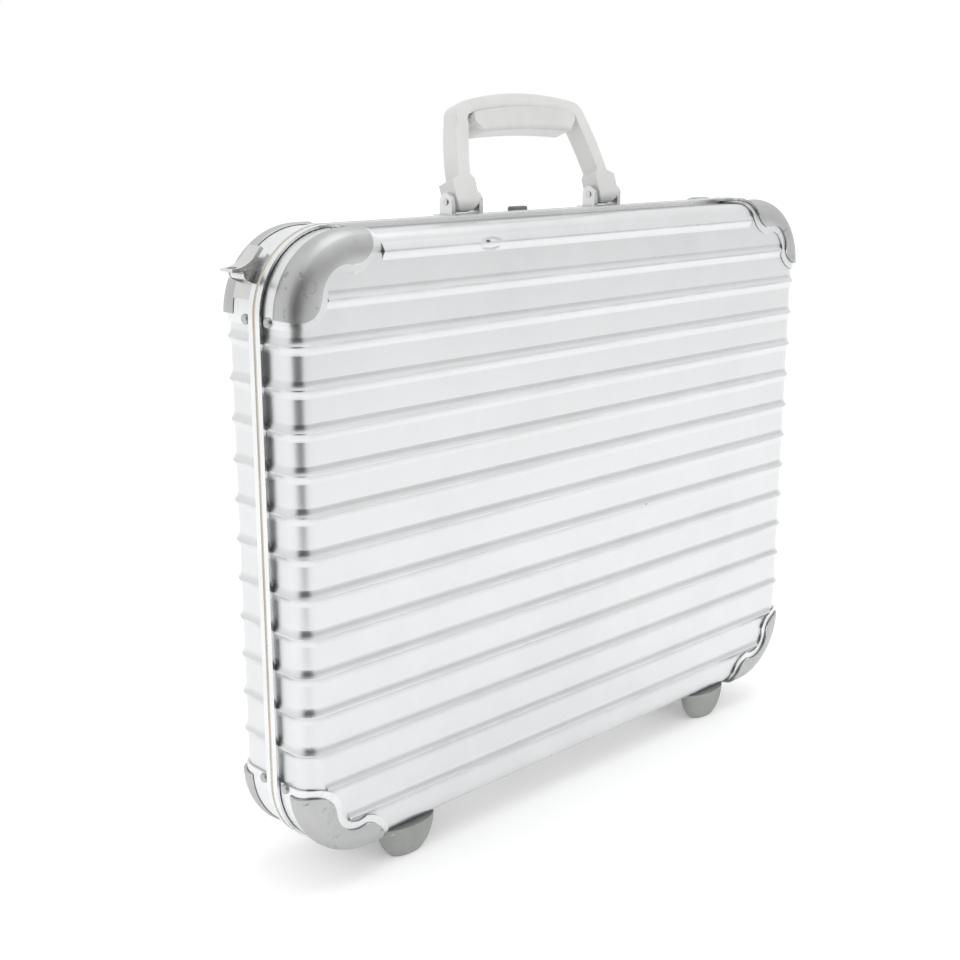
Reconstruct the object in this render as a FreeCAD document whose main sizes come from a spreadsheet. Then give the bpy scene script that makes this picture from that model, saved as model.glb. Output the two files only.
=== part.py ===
import FreeCAD, Part
import math
import os
import Sketcher

# Aluminium attache case, standing upright on its feet.
# X runs along the width, Y from the lid (negative) to the base half (positive), Z is up.
# The joint between the two halves is the plane Y = 0. Lengths are millimetres.

LID = -1
BASE = 1
LEFT = -1
RIGHT = 1
UPPER = 1
LOWER = -1

SIZES = [
    ("shell_half_width", 225.6, "half width over the flat sheet between ribs"),
    ("shell_bottom", 20.5, "underside of the shells"),
    ("shell_top", 373.5, "top of the shells"),
    ("shell_corner", 44.0, "corner radius seen from the front"),
    ("edge_round", 11.0, "radius from the large faces to the rims"),
    ("sheet", 1.2, "aluminium sheet thickness"),
    ("lid_depth", 29.2, "seam to the flat face of the lid"),
    ("base_depth", 34.2, "seam to the flat face of the base half"),
    ("shell_edge", 2.4, "distance of each sheet edge from the seam plane"),
    ("rib_pitch", 22.8, "spacing of the ribs"),
    ("rib_top", 363.1, "height of the highest rib crest"),
    ("rib_height", 1.8, "rib crest above the flat sheet"),
    ("rib_half", 6.0, "half of the rib's width"),
    ("rib_start", 3.8, "rib ends, distance from the seam plane"),
    ("frame_seam", 1.2, "distance of the frame faces from the seam plane"),
    ("frame_depth", 3.8, "depth of each edge frame"),
    ("frame_out", 3.4, "frame lip outside the flat sheet"),
    ("frame_in", 3.0, "frame leg inside the flat sheet"),
    ("lining_gap", 1.7, "outside of the lining inside the sheet face"),
    ("lining_thick", 1.5, "lining thickness"),
    ("lining_edge", 5.6, "lining edge, distance from the seam plane"),
    ("guard_thick", 1.2, "corner plate thickness"),
    ("guard_half", 20.4, "half width of the corner plate's rounded ends"),
    ("cap_half", 16.0, "half width of the cap's rounded ends"),
    ("waist", 4.0, "how far the inner edge stands back at the waist"),
    ("low_turn", 22.0, "start of the corner outline, degrees up from level"),
    ("high_turn", 81.5, "end of the corner outline, degrees up from level"),
    ("rivet_shank", 1.6, "guard rivet shank radius"),
    ("rivet_head", 2.9, "guard rivet head radius"),
    ("rivet_inset", 10.0, "guard rivets, distance from the seam plane"),
    ("foot_half_x", 21.0, "foot half length"),
    ("foot_half_y", 10.0, "foot half width"),
    ("foot_x", 146.0, "feet, distance from the middle"),
    ("hinge_z", 14.0, "height of the hinge pin"),
    ("hinge_barrel", 3.0, "hinge knuckle radius"),
    ("hinge_pin", 1.2, "hinge pin radius"),
    ("knuckle_pitch", 26.6, "spacing of the hinge knuckles"),
    ("pivot_y", 17.5, "handle pivot, distance behind the seam plane"),
    ("pivot_z", 383.2, "height of the handle pivot"),
    ("pivot_pin", 2.0, "handle pin radius"),
    ("handle_depth", 13.0, "handle arch, front to back"),
    ("handle_lean", 19.0, "rest angle of the handle behind upright, degrees"),
    ("stay_link", 70.0, "length between stay rivets"),
    ("stay_inset", 12.0, "stay mounts, distance from the seam plane"),
    ("slide_travel", 8.0, "travel of the catch slide"),
    ("loop_x", 227.0, "strap loop pivot, distance from the middle"),
    ("loop_y", 12.8, "strap loop middle, distance behind the seam plane"),
    ("loop_z", 352.5, "height of the strap loop pivot"),
]

V = FreeCAD.Vector
doc = FreeCAD.newDocument("attache_case")
sheet = doc.addObject("Spreadsheet::Sheet", "Sizes")
for row, (alias, value, note) in enumerate(SIZES, start=1):
    sheet.set("A%d" % row, alias.replace("_", " "))
    sheet.set("B%d" % row, str(value))
    sheet.set("C%d" % row, note)
    sheet.setAlias("B%d" % row, alias)
doc.recompute()

parts = []


def size(name):
    """Value of one named size."""
    return float(sheet.get(name))


# ---------------------------------------------------------------- helpers

def keep(obj, label):
    """Register a finished sub-part under its node name."""
    obj.Label = label
    parts.append(obj)
    return obj


def new_body(name):
    return doc.addObject("PartDesign::Body", name)


def origin_item(body, role):
    for item in body.Origin.OriginFeatures:
        if item.Role == role:
            return item


def new_sketch(body, name, role, offset=None):
    """Sketch on one of the body's origin planes, shifted in the sketch's own axes."""
    sketch = body.newObject("Sketcher::SketchObject", name)
    sketch.AttachmentSupport = (origin_item(body, role), [""])
    sketch.MapMode = "FlatFace"
    if offset is not None:
        sketch.AttachmentOffset = FreeCAD.Placement(V(*offset), FreeCAD.Rotation())
    return sketch


def line(x1, y1, x2, y2):
    return Part.LineSegment(V(x1, y1, 0), V(x2, y2, 0))


def arc3(x1, y1, x2, y2, x3, y3):
    return Part.Arc(V(x1, y1, 0), V(x2, y2, 0), V(x3, y3, 0))


def loop(sketch, items):
    """Add a closed chain of lines and arcs."""
    for item in items:
        sketch.addGeometry(item, False)


def polygon(sketch, points):
    count = len(points)
    for i in range(count):
        a = points[i]
        b = points[(i + 1) % count]
        sketch.addGeometry(line(a[0], a[1], b[0], b[1]), False)


def disc(sketch, x, y, radius):
    sketch.addGeometry(Part.Circle(V(x, y, 0), V(0, 0, 1), radius), False)


def solid_feature(body, kind, name, sketch, length, reverse=False, middle=False):
    """Pad or pocket of a sketch; length is a number or an expression."""
    feature = body.newObject("PartDesign::" + kind, name)
    feature.Profile = sketch
    feature.Reversed = reverse
    if middle:
        feature.Midplane = True
    if isinstance(length, str):
        feature.setExpression("Length", length)
    else:
        feature.Length = length
    sketch.Visibility = False
    body.Tip = feature
    return feature


def through_pocket(body, name, sketch):
    """Pocket through everything on both sides of the sketch."""
    feature = body.newObject("PartDesign::Pocket", name)
    feature.Profile = sketch
    feature.Type = 1
    feature.Midplane = True
    body.Tip = feature
    return feature


def round_edges(body, name, base, radius, pick):
    """Fillet every edge of a feature that the test accepts."""
    doc.recompute()
    names = []
    for i, edge in enumerate(base.Shape.Edges, start=1):
        if pick(edge):
            names.append("Edge%d" % i)
    feature = body.newObject("PartDesign::Fillet", name)
    feature.Base = (base, names)
    if isinstance(radius, str):
        feature.setExpression("Radius", radius)
    else:
        feature.Radius = radius
    body.Tip = feature
    return feature


def edge_in_plane(axis, value, tolerance=0.02):
    """Test for edges that lie in one plane square to an axis."""
    def pick(edge):
        box = edge.BoundBox
        low = getattr(box, axis + "Min")
        high = getattr(box, axis + "Max")
        return abs(low - value) < tolerance and abs(high - value) < tolerance
    return pick


def rim_outline(sketch, grow):
    """Rounded rectangle of the case rim, grown outwards and tied to the sizes."""
    half = size("shell_half_width") + grow
    low = size("shell_bottom") - grow
    high = size("shell_top") + grow
    radius = size("shell_corner") + grow
    first = sketch.GeometryCount
    loop(sketch, [
        line(radius - half, low, half - radius, low),
        Part.ArcOfCircle(Part.Circle(V(half - radius, low + radius, 0), V(0, 0, 1), radius),
                         1.5 * math.pi, 2 * math.pi),
        line(half, low + radius, half, high - radius),
        Part.ArcOfCircle(Part.Circle(V(half - radius, high - radius, 0), V(0, 0, 1), radius),
                         0, 0.5 * math.pi),
        line(half - radius, high, radius - half, high),
        Part.ArcOfCircle(Part.Circle(V(radius - half, high - radius, 0), V(0, 0, 1), radius),
                         0.5 * math.pi, math.pi),
        line(-half, high - radius, -half, low + radius),
        Part.ArcOfCircle(Part.Circle(V(radius - half, low + radius, 0), V(0, 0, 1), radius),
                         math.pi, 1.5 * math.pi),
    ])
    for i in range(8):
        sketch.addConstraint(Sketcher.Constraint("Tangent", first + i, 2,
                                                 first + (i + 1) % 8, 1))
    for i in (0, 4):
        sketch.addConstraint(Sketcher.Constraint("Horizontal", first + i))
    for i in (2, 6):
        sketch.addConstraint(Sketcher.Constraint("Vertical", first + i))
    for i in (3, 5, 7):
        sketch.addConstraint(Sketcher.Constraint("Equal", first + 1, first + i))
    ties = [
        (Sketcher.Constraint("Radius", first + 1, radius), "Sizes.shell_corner"),
        (Sketcher.Constraint("DistanceX", -1, 1, first + 2, 1, half), "Sizes.shell_half_width"),
        (Sketcher.Constraint("DistanceX", first + 6, 1, -1, 1, half), "Sizes.shell_half_width"),
        (Sketcher.Constraint("DistanceY", -1, 1, first + 4, 1, high), "Sizes.shell_top"),
    ]
    for constraint, source in ties:
        index = sketch.addConstraint(constraint)
        sketch.setExpression("Constraints[%d]" % index, "%s + %s" % (source, grow))
    index = sketch.addConstraint(Sketcher.Constraint("DistanceY", -1, 1, first, 1, low))
    sketch.setExpression("Constraints[%d]" % index, "Sizes.shell_bottom - %s" % grow)


def slab(body, name, side, grow, start, length, kind="Pad"):
    """Pad or pocket of the rim outline, from a distance off the seam away from it."""
    sketch = new_sketch(body, name + "_outline", "XZ_Plane", (0, 0, -side * start))
    rim_outline(sketch, grow)
    away = side == BASE
    if kind == "Pocket":
        away = not away
    return solid_feature(body, kind, name, sketch, length, reverse=away)


def box_part(name, x1, x2, y1, y2, z1, z2):
    box = doc.addObject("Part::Box", name)
    box.Length = x2 - x1
    box.Width = y2 - y1
    box.Height = z2 - z1
    box.Placement.Base = V(x1, y1, z1)
    return box


def rod_part(name, radius, start, direction, length):
    """Cylinder from a start point along a direction."""
    rod = doc.addObject("Part::Cylinder", name)
    if isinstance(radius, str):
        rod.setExpression("Radius", radius)
    else:
        rod.Radius = radius
    rod.Height = length
    turn = FreeCAD.Rotation(V(0, 0, 1), V(*direction))
    rod.Placement = FreeCAD.Placement(V(*start), turn)
    return rod


def fuse(name, items):
    joined = doc.addObject("Part::MultiFuse", name)
    joined.Shapes = items
    joined.Refine = True
    return joined


def cut(name, base, tool):
    piece = doc.addObject("Part::Cut", name)
    piece.Base = base
    piece.Tool = tool
    return piece


def common(name, first, second):
    piece = doc.addObject("Part::MultiCommon", name)
    piece.Shapes = [first, second]
    return piece


def group(name, items):
    """Several equal loose solids that share one node."""
    compound = doc.addObject("Part::Compound", name)
    compound.Links = items
    return compound


def corner_x(side_x):
    return side_x * (size("shell_half_width") - size("shell_corner"))


def corner_z(side_z):
    if side_z == UPPER:
        return size("shell_top") - size("shell_corner")
    return size("shell_bottom") + size("shell_corner")


def depth_of(side):
    if side == LID:
        return size("lid_depth")
    return size("base_depth")


def half_name(side):
    if side == LID:
        return "lid"
    return "base"


def corner_name(side_x, side_z):
    return ("upper" if side_z == UPPER else "lower") + ("_left" if side_x == LEFT else "_right")


def rivet_spots():
    """Rivets at the ends of the corner plates: side pairs (z) and rim pairs (x)."""
    shift = 0.6
    low = corner_z(LOWER) + shift
    high = corner_z(UPPER) - shift
    across = corner_x(RIGHT) - shift
    return (low, high), (-across, across)


# ---------------------------------------------------------------- shells

def rib_profile(sketch, base_line, out, height_at, drop=0.0):
    """Raised rib section: a narrow crest between two hollow flanks.

    The upper flank may run out lower, where the face already curves away.
    """
    half = size("rib_half")
    crest = base_line + out * size("rib_height")
    root = base_line - out * 0.4
    near = base_line + out * 0.35
    tip = 0.35
    loop(sketch, [
        line(root, height_at - half, base_line, height_at - half),
        arc3(base_line, height_at - half, near, height_at - 0.5 * half, crest, height_at - tip),
        line(crest, height_at - tip, crest, height_at + tip),
        arc3(crest, height_at + tip, near - out * 0.2 * drop, height_at + 0.5 * half,
             base_line - out * drop, height_at + half - drop),
        line(base_line - out * drop, height_at + half - drop, root - out * drop,
             height_at + half - drop),
        line(root - out * drop, height_at + half - drop, root, height_at),
        line(root, height_at, root, height_at - half),
    ])


def wrapped_ribs(body, side, depth, first_rib, count):
    """Ribs that run from the seam round both upright edges."""
    half = size("shell_half_width")
    bend = size("edge_round")
    level = size("rib_top") - first_rib * size("rib_pitch")
    start = size("rib_start")
    flat = half - bend
    turn = depth - bend
    knee = bend * math.sqrt(0.5)
    spine = new_sketch(body, "rib_path", "XY_Plane", (0, 0, level))
    loop(spine, [
        line(-half, side * start, -half, side * turn),
        arc3(-half, side * turn, -flat - knee, side * (turn + knee), -flat, side * depth),
        line(-flat, side * depth, flat, side * depth),
        arc3(flat, side * depth, flat + knee, side * (turn + knee), half, side * turn),
        line(half, side * turn, half, side * start),
    ])
    section = new_sketch(body, "rib_section", "XZ_Plane", (0, 0, -side * start))
    rib_profile(section, -half, -1, level)
    doc.recompute()
    sweep = body.newObject("PartDesign::AdditivePipe", "rib")
    sweep.Profile = section
    sweep.Spine = (spine, ["Edge%d" % (i + 1) for i in range(5)])
    doc.recompute()
    body.Tip = sweep
    pattern = body.newObject("PartDesign::LinearPattern", "rib_row")
    pattern.Originals = [sweep]
    pattern.Direction = (origin_item(body, "Z_Axis"), [""])
    pattern.Reversed = True
    pattern.setExpression("Length", "Sizes.rib_pitch * %d" % (count - 1))
    pattern.Occurrences = count
    body.Tip = pattern


def face_rib(body, side, depth, number, half_length):
    """Rib on the large face only, ending at the corner guards."""
    level = size("rib_top") - number * size("rib_pitch")
    section = new_sketch(body, "face_rib_%d" % number, "YZ_Plane")
    drop = 1.3 if number == 0 else 0.0
    rib_profile(section, side * depth, side, level, drop)
    solid_feature(body, "Pad", "face_rib_pad_%d" % number, section, 2 * half_length, middle=True)


def trim_ribs(body, side, depth):
    """Clear the ribs from the flats under the four corner guards."""
    seats = new_sketch(body, "guard_seats", "XZ_Plane", (0, 0, -side * (depth + 0.05)))
    for side_x in (LEFT, RIGHT):
        for side_z in (UPPER, LOWER):
            arc_slot(seats, side_x, side_z, size("guard_half") + 0.4)
    solid_feature(body, "Pocket", "guard_seats_cut", seats, 6.0, reverse=(side == LID))


def hollow_out(body, base, seam_y, wall):
    """Turn a rounded slab into a tray of even wall, open at the seam."""
    doc.recompute()
    for i, face in enumerate(base.Shape.Faces, start=1):
        box = face.BoundBox
        if abs(box.YMin - seam_y) < 0.01 and abs(box.YMax - seam_y) < 0.01:
            seam_face = "Face%d" % i
    feature = body.newObject("PartDesign::Thickness", "hollow")
    feature.Base = (base, [seam_face])
    if isinstance(wall, str):
        feature.setExpression("Value", wall)
    else:
        feature.Value = wall
    feature.Reversed = True
    feature.Join = 0
    body.Tip = feature
    return feature


def shell(side):
    """Drawn aluminium half with raised ribs and its rivet holes."""
    name = half_name(side) + "_shell"
    depth = depth_of(side)
    start = size("shell_edge")
    body = new_body(name)
    outer = slab(body, "outer", side, 0.0, start, depth - start)
    rounded = round_edges(body, "outer_round", outer, "Sizes.edge_round",
                          edge_in_plane("Y", side * depth))
    hollow_out(body, rounded, side * start, "Sizes.sheet")
    wrapped_ribs(body, side, depth, 2, 11)
    for number, length in ((0, 165.0), (1, 208.0), (13, 213.0), (14, 198.0)):
        face_rib(body, side, depth, number, length)
    trim_ribs(body, side, depth)
    levels, columns = rivet_spots()
    hole = size("rivet_shank") + 0.05
    sides = new_sketch(body, "side_holes", "YZ_Plane")
    for level in levels:
        disc(sides, side * size("rivet_inset"), level, hole)
    through_pocket(body, "side_holes_cut", sides)
    rims = new_sketch(body, "rim_holes", "XY_Plane")
    for column in columns:
        disc(rims, column, side * size("rivet_inset"), hole)
    through_pocket(body, "rim_holes_cut", rims)
    below = new_sketch(body, "floor_holes", "XY_Plane")
    for foot in (LEFT, RIGHT):
        disc(below, foot * size("foot_x"), foot_y(side), 2.05)
    for x in leaf_rivets():
        disc(below, x, side * 12.0, 1.45)
    solid_feature(body, "Pocket", "floor_holes_cut", below, 40.0, reverse=True)
    if side == BASE:
        slot = new_sketch(body, "catch_slot", "XY_Plane", (0, 0, 360.0))
        polygon(slot, [(-25, 16.9), (-11, 16.9), (-11, 21.1), (-25, 21.1)])
        solid_feature(body, "Pocket", "catch_slot_cut", slot, 30.0, reverse=True)
    keep(body, name)


def foot_y(side):
    if side == LID:
        return -19.0
    return 21.0


def leaf_rivets():
    return [-100.0 + 40.0 * i for i in range(6)]


def lining(side):
    """Fabric-covered liner tray."""
    name = half_name(side) + "_lining"
    depth = depth_of(side) - size("sheet")
    start = size("lining_edge")
    body = new_body(name)
    outer = slab(body, "outer", side, -size("lining_gap"), start, depth - start)
    rounded = round_edges(body, "outer_round", outer, 9.3, edge_in_plane("Y", side * depth))
    hollow_out(body, rounded, side * start, "Sizes.lining_thick")
    if side == BASE:
        gate = new_sketch(body, "catch_gate", "XZ_Plane")
        polygon(gate, [(-76, 356), (76, 356), (76, 374), (-76, 374)])
        solid_feature(body, "Pocket", "catch_gate_cut", gate, 25.5, reverse=False)
    keep(body, name)


def edge_frame(side):
    """Extruded edge frame that grips the sheet edge in a channel."""
    name = half_name(side) + "_frame"
    start = size("frame_seam")
    deep = size("frame_depth")
    body = new_body(name)
    slab(body, "ring", side, size("frame_out"), start, "Sizes.frame_depth")
    slab(body, "ring_hollow", side, -size("frame_in"), start, deep, kind="Pocket")
    channel = new_sketch(body, "channel", "XZ_Plane", (0, 0, -side * (start + deep)))
    rim_outline(channel, 2.0)
    rim_outline(channel, -1.3)
    solid_feature(body, "Pocket", "channel_cut", channel, start + deep - size("shell_edge"),
                  reverse=(side == BASE))
    keep(body, name)


def seal():
    """Rubber seal seated on the base frame."""
    body = new_body("seam_seal")
    sketch = new_sketch(body, "seal_outline", "XZ_Plane", (0, 0, -size("frame_seam")))
    rim_outline(sketch, 2.6)
    rim_outline(sketch, -2.0)
    solid_feature(body, "Pad", "seal", sketch, 2.3)
    keep(body, "seam_seal")


# ---------------------------------------------------------------- corner guards

def arc_slot(sketch, side_x, side_z, half_width):
    """Curved slot outline over one corner, seen square to the large face."""
    cx = corner_x(side_x)
    cz = corner_z(side_z)
    radius = size("shell_corner")
    first = math.radians(size("low_turn"))
    last = math.radians(size("high_turn"))
    middle = math.radians(45.0)

    def at(r, angle):
        return cx + side_x * r * math.cos(angle), cz + side_z * r * math.sin(angle)

    inner = radius - half_width
    outer = radius + half_width
    low_tip = (cx + side_x * (radius * math.cos(first) + half_width * math.sin(first)),
               cz + side_z * (radius * math.sin(first) - half_width * math.cos(first)))
    high_tip = (cx + side_x * (radius * math.cos(last) - half_width * math.sin(last)),
                cz + side_z * (radius * math.sin(last) + half_width * math.cos(last)))
    loop(sketch, [
        arc3(*at(inner, first), *at(inner + size("waist"), middle), *at(inner, last)),
        arc3(*at(inner, last), *high_tip, *at(outer, last)),
        arc3(*at(outer, last), *at(outer, middle), *at(outer, first)),
        arc3(*at(outer, first), *low_tip, *at(inner, first)),
    ])


def slot_block(name, side_x, side_z, half_width):
    """Solid prism of the slot outline, used to shape the corner pieces."""
    body = new_body(name)
    sketch = new_sketch(body, "outline", "XZ_Plane")
    arc_slot(sketch, side_x, side_z, half_width)
    solid_feature(body, "Pad", "block", sketch, 90.0, middle=True)
    return body


def revolved(body, name, sketch):
    """Revolve a section about the corner's centre line, past a quarter turn each way."""
    turn = body.newObject("PartDesign::Revolution", name + "_turn")
    turn.Profile = sketch
    turn.ReferenceAxis = (sketch, ["H_Axis"])
    turn.Angle = 150.0
    turn.Midplane = True
    body.Tip = turn
    return turn


def corner_sketch(body, name, side_x, side_z, tilt):
    """Sketch through the corner's centre line, tilted about it from upright."""
    sketch = body.newObject("Sketcher::SketchObject", name)
    sketch.AttachmentSupport = (origin_item(body, "YZ_Plane"), [""])
    sketch.MapMode = "FlatFace"
    spin = FreeCAD.Rotation(V(1, 0, 0), tilt)
    place = FreeCAD.Placement(V(0, corner_z(side_z), corner_x(side_x)), spin)
    sketch.AttachmentOffset = place
    return sketch


def corner_solid(name, side_x, side_z, outline):
    """One section turned round the corner and run on straight along the rim."""
    cx = corner_x(side_x)
    cz = corner_z(side_z)
    turned = new_body(name + "_turn")
    section = corner_sketch(turned, "turned_section", side_x, side_z, 45.0 * side_x * side_z)
    loop(section, outline())
    revolved(turned, "turn", section)
    low, high = sorted((cx, cx + side_x * 60.0))
    outside = box_part(name + "_quadrant", low, high, -60.0, 60.0, cz - 60.0, cz + 60.0)
    straight = new_body(name + "_run")
    section = corner_sketch(straight, "straight_section", side_x, side_z, 0.0)
    loop(section, outline())
    solid_feature(straight, "Pad", "run", section, 22.0, reverse=(side_x == RIGHT))
    return fuse(name + "_whole", [common(name + "_turned", turned, outside), straight])


def guard_plate(side, side_x, side_z):
    """Curved plate that hugs the frame round a corner and turns on to the face."""
    name = "%s_guard_%s" % (half_name(side), corner_name(side_x, side_z))
    depth = depth_of(side)
    radius = size("shell_corner")
    bend = size("edge_round")
    thick = size("guard_thick")
    gap = 0.3
    start = 3.7
    inner = bend + gap
    outer = inner + thick
    knee = math.sqrt(0.5)
    fy = depth - bend
    fr = radius - bend
    low = radius - size("guard_half") - 0.5

    def p(y, r):
        return side * y, side_z * r

    def outline():
        return [
            line(*p(start, radius + gap), *p(fy, radius + gap)),
            arc3(*p(fy, fr + inner), *p(fy + inner * knee, fr + inner * knee),
                 *p(fy + inner, fr)),
            line(*p(fy + inner, fr), *p(fy + inner, low)),
            line(*p(fy + inner, low), *p(fy + outer, low)),
            line(*p(fy + outer, low), *p(fy + outer, fr)),
            arc3(*p(fy + outer, fr), *p(fy + outer * knee, fr + outer * knee),
                 *p(fy, fr + outer)),
            line(*p(fy, fr + outer), *p(start, fr + outer)),
            line(*p(start, fr + outer), *p(start, radius + gap)),
        ]

    strip = corner_solid(name, side_x, side_z, outline)
    shape = slot_block(name + "_shape", side_x, side_z, size("guard_half"))
    plate = common(name + "_plate", strip, shape)
    levels, columns = rivet_spots()
    level = levels[1] if side_z == UPPER else levels[0]
    column = side_x * columns[1]
    hole = size("rivet_shank") + 0.05
    y = side * size("rivet_inset")
    edge_z = size("shell_top") if side_z == UPPER else size("shell_bottom")
    tools = fuse(name + "_drills", [
        rod_part(name + "_drill_a", hole, (side_x * 215.0, y, level), (side_x, 0, 0), 25.0),
        rod_part(name + "_drill_b", hole, (column, y, edge_z - side_z * 8.0), (0, 0, side_z), 25.0),
    ])
    keep(cut(name, plate, tools), name)


def guard_cap(side, side_x, side_z):
    """Domed bean-shaped cap over the three-way corner."""
    name = "%s_cap_%s" % (half_name(side), corner_name(side_x, side_z))
    depth = depth_of(side)
    radius = size("shell_corner")
    bend = size("edge_round")
    base = bend + 1.8
    crown = bend + 3.4
    start = 14.5 if side == LID else 21.2
    knee = math.sqrt(0.5)
    fy = depth - bend
    fr = radius - bend
    low = radius - size("cap_half") - 0.9

    def p(y, r):
        return side * y, side_z * r

    def outline():
        return [
            line(*p(start, fr + base), *p(fy, fr + base)),
            arc3(*p(fy, fr + base), *p(fy + base * knee, fr + base * knee), *p(fy + base, fr)),
            line(*p(fy + base, fr), *p(fy + base, low)),
            arc3(*p(fy + base, low), *p(fy + crown - 0.7, fr + 3.0),
                 *p(fy + crown * knee, fr + crown * knee)),
            arc3(*p(fy + crown * knee, fr + crown * knee), *p(fy + 2.5, fr + crown - 0.6),
                 *p(start, fr + base)),
        ]

    dome = corner_solid(name, side_x, side_z, outline)
    shape = slot_block(name + "_shape", side_x, side_z, size("cap_half"))
    keep(common(name, dome, shape), name)


def guard_rivets(side):
    """Button rivets at both ends of the four corner plates."""
    name = half_name(side) + "_rivets"
    levels, columns = rivet_spots()
    y = side * size("rivet_inset")
    half = size("shell_half_width")
    items = []
    for side_x in (LEFT, RIGHT):
        for level in levels:
            items.append(rivet(name, len(items), (side_x * (half + 1.5), y, level), (side_x, 0, 0)))
    for side_z, edge in ((UPPER, size("shell_top")), (LOWER, size("shell_bottom"))):
        for column in columns:
            items.append(rivet(name, len(items), (column, y, edge + side_z * 1.5), (0, 0, side_z)))
    keep(group(name, items), name)


def rivet(name, number, seat, out):
    """Shank through plate and sheet with a low domed head."""
    tag = "%s_%d" % (name, number)
    grip = 3.0
    start = (seat[0] - out[0] * grip, seat[1], seat[2] - out[2] * grip)
    shank = rod_part(tag + "_shank", "Sizes.rivet_shank", start, out, grip + 0.5)
    head = rod_part(tag + "_head", "Sizes.rivet_head", seat, out, 1.6)
    domed = doc.addObject("Part::Fillet", tag + "_dome")
    domed.Base = head
    doc.recompute()
    for i, edge in enumerate(head.Shape.Edges, start=1):
        middle = edge.CenterOfMass
        rise = (middle - V(*seat)).dot(V(*out))
        if rise > 1.5 and edge.Length > 5:
            domed.Edges = [(i, 1.3, 1.3)]
            break
    return fuse(tag, [shank, domed])


# ---------------------------------------------------------------- feet

def foot(side, side_x):
    """Half-ellipsoid plastic foot with a recessed rivet."""
    name = "%s_foot_%s" % (half_name(side), "left" if side_x == LEFT else "right")
    x = side_x * size("foot_x")
    y = foot_y(side)
    top = size("shell_bottom")
    dome = doc.addObject("Part::Ellipsoid", name + "_dome")
    dome.Radius1 = top + 4.0
    dome.setExpression("Radius2", "Sizes.foot_half_x")
    dome.setExpression("Radius3", "Sizes.foot_half_y")
    dome.Placement.Base = V(x, y, top)
    block = box_part(name + "_block", x - 40, x + 40, y - 30, y + 30, 0, top)
    half = common(name + "_half", dome, block)
    bore = rod_part(name + "_bore", 2.05, (x, y, -1), (0, 0, 1), top + 2)
    sink = rod_part(name + "_sink", 4.2, (x, y, -1), (0, 0, 1), 6.0)
    keep(cut(name, half, fuse(name + "_holes", [bore, sink])), name)


def foot_rivets(side):
    name = half_name(side) + "_foot_rivets"
    items = []
    for side_x in (LEFT, RIGHT):
        x = side_x * size("foot_x")
        y = foot_y(side)
        head = rod_part("%s_head_%d" % (name, side_x), 4.0, (x, y, 3.4), (0, 0, 1), 1.6)
        shank = rod_part("%s_shank_%d" % (name, side_x), 2.0, (x, y, 4.0), (0, 0, 1), 18.0)
        items.append(fuse("%s_%d" % (name, side_x), [head, shank]))
    keep(group(name, items), name)


# ---------------------------------------------------------------- hinge

def hinge_leaf(side):
    """Joggled leaf under the rim with its share of the knuckles."""
    name = half_name(side) + "_hinge_leaf"
    z = size("hinge_z")
    barrel = size("hinge_barrel")
    pitch = size("knuckle_pitch")
    top = size("shell_bottom")
    body = new_body(name + "_plate")
    sketch = new_sketch(body, "section", "YZ_Plane")
    polygon(sketch, [
        (side * 3.4, z + 2.0), (side * 6.4, z + 2.0), (side * 6.4, top - 1.1),
        (side * 17.0, top - 1.1), (side * 17.0, top), (side * 5.4, top),
        (side * 5.4, z + 3.0), (side * 3.4, z + 3.0),
    ])
    half = 4.5 * pitch
    solid_feature(body, "Pad", "plate", sketch, 2 * half, middle=True)
    holes = new_sketch(body, "holes", "XY_Plane")
    for x in leaf_rivets():
        disc(holes, x, side * 12.0, 1.45)
    solid_feature(body, "Pocket", "holes_cut", holes, 40.0, reverse=True)
    items = [body]
    own = range(0, 9, 2) if side == BASE else range(1, 9, 2)
    for i in own:
        x = -half + i * pitch + 0.15
        long = pitch - 0.3
        tag = "%s_knuckle_%d" % (name, i)
        items.append(rod_part(tag, "Sizes.hinge_barrel", (x, 0, z), (1, 0, 0), long))
        y_low, y_high = sorted((0.0, side * 3.6))
        items.append(box_part(tag + "_tab", x, x + long, y_low, y_high, z + 2.0, z + 3.0))
    solid = fuse(name + "_solid", items)
    bore = rod_part(name + "_bore", size("hinge_pin") + 0.05, (-half - 1, 0, z), (1, 0, 0),
                    2 * half + 2)
    keep(cut(name, solid, bore), name)


def hinge_pin():
    half = 4.5 * size("knuckle_pitch")
    pin = rod_part("hinge_pin", "Sizes.hinge_pin", (-half, 0, size("hinge_z")), (1, 0, 0), 2 * half)
    keep(pin, "hinge_pin")


def leaf_rivet_row(side):
    name = half_name(side) + "_hinge_rivets"
    top = size("shell_bottom")
    items = []
    for i, x in enumerate(leaf_rivets()):
        head = rod_part("%s_head_%d" % (name, i), 2.6, (x, side * 12.0, top - 2.1), (0, 0, 1), 1.0)
        shank = rod_part("%s_shank_%d" % (name, i), 1.4, (x, side * 12.0, top - 1.6),
                         (0, 0, 1), 3.2)
        items.append(fuse("%s_%d" % (name, i), [head, shank]))
    keep(group(name, items), name)


# ---------------------------------------------------------------- handle

def base_plate():
    """Polished mounting plate under the handle, with the catch slot."""
    body = new_body("handle_plate")
    sketch = new_sketch(body, "outline", "XY_Plane", (0, 0, size("shell_top")))
    polygon(sketch, [(-84, 8.5), (84, 8.5), (84, 26.5), (-84, 26.5)])
    plate = solid_feature(body, "Pad", "plate", sketch, 1.5)
    round_edges(body, "corners", plate, 4.0,
                lambda edge: edge.BoundBox.ZLength > 1.4 and edge.BoundBox.XLength < 0.01)
    slot = new_sketch(body, "slot", "XY_Plane")
    polygon(slot, [(-25, 16.9), (-11, 16.9), (-11, 21.1), (-25, 21.1)])
    through_pocket(body, "slot_cut", slot)
    keep(body, "handle_plate")


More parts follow.
